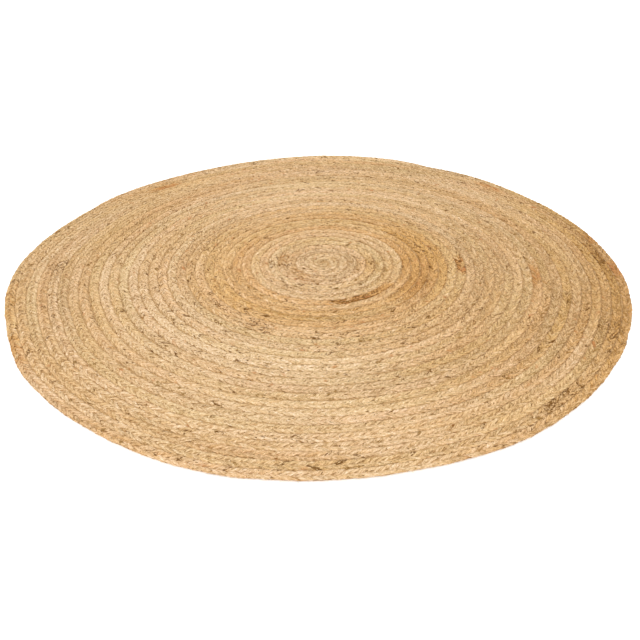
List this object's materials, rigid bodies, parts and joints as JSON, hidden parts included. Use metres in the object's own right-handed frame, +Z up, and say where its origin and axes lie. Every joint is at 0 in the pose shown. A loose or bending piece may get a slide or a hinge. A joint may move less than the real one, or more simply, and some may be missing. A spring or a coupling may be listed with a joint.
{
  "type": "round jute rug",
  "caption": "Round braided jute rug: a braid of jute yarn coiled flat in a spiral and sewn edge to edge, lying flat on the floor.",
  "frame": {"origin": "on the floor under the middle of the rug's box, on the flat underside", "axes": "+Z up out of the floor; +X to the right and +Y away from the viewer as the rug lies in the picture"},
  "size_m": [1.5114, 1.5124, 0.008],
  "materials": {
    "jute": "dry matt braided jute, undyed"
  },
  "bodies": {
    "root": {"braided_coil": "jute"}
  },
  "joints": []
}
